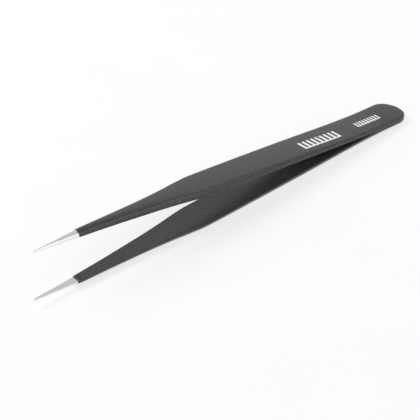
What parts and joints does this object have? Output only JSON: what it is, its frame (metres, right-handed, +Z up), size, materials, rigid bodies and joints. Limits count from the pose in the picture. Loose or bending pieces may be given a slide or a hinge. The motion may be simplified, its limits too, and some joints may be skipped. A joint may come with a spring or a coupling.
{
  "type": "precision tweezers",
  "caption": "Straight pointed tweezers with two sprung steel legs welded at the tail, a satin black coat and bare points.",
  "frame": {"origin": "on the table under the centre of the tweezers' box, as they rest on the tail's end and on the shoulder of the lower leg", "axes": "+X along the length towards the points, +Y across the legs, +Z up from the table, which is the way the points open, tilted by 3.4 degrees"},
  "size_m": [0.1202, 0.0094, 0.0147],
  "materials": {
    "steel": "fine ground stainless steel, bare at the points",
    "weld_steel": "fused steel, hidden between the heels",
    "black_coat": "satin black static-dissipative epoxy, very fine texture",
    "white_ink": "matt white pad-printed ink"
  },
  "bodies": {
    "tail": {"upper_heel": "steel", "lower_heel": "steel", "weld_nugget_rear": "weld_steel", "weld_nugget_front": "weld_steel", "tail_coat": "black_coat", "fine_mark": "white_ink"},
    "upper_leg": {"upper_leg": "steel", "upper_leg_coat": "black_coat", "broad_mark": "white_ink"},
    "lower_leg": {"lower_leg": "steel", "lower_leg_coat": "black_coat"}
  },
  "joints": [
    {"name": "upper_leg_flex", "type": "hinge", "parent": "tail", "child": "upper_leg", "pos_m": [-0.03421, 0, 0.00392], "axis": [0, 1, 0], "range_deg": [0, 3.7], "stiffness_Nm_per_rad": 1.5},
    {"name": "lower_leg_flex", "type": "hinge", "parent": "tail", "child": "lower_leg", "pos_m": [-0.03405, 0, 0.00121], "axis": [0, -1, 0], "range_deg": [0, 3.7], "stiffness_Nm_per_rad": 1.5}
  ]
}
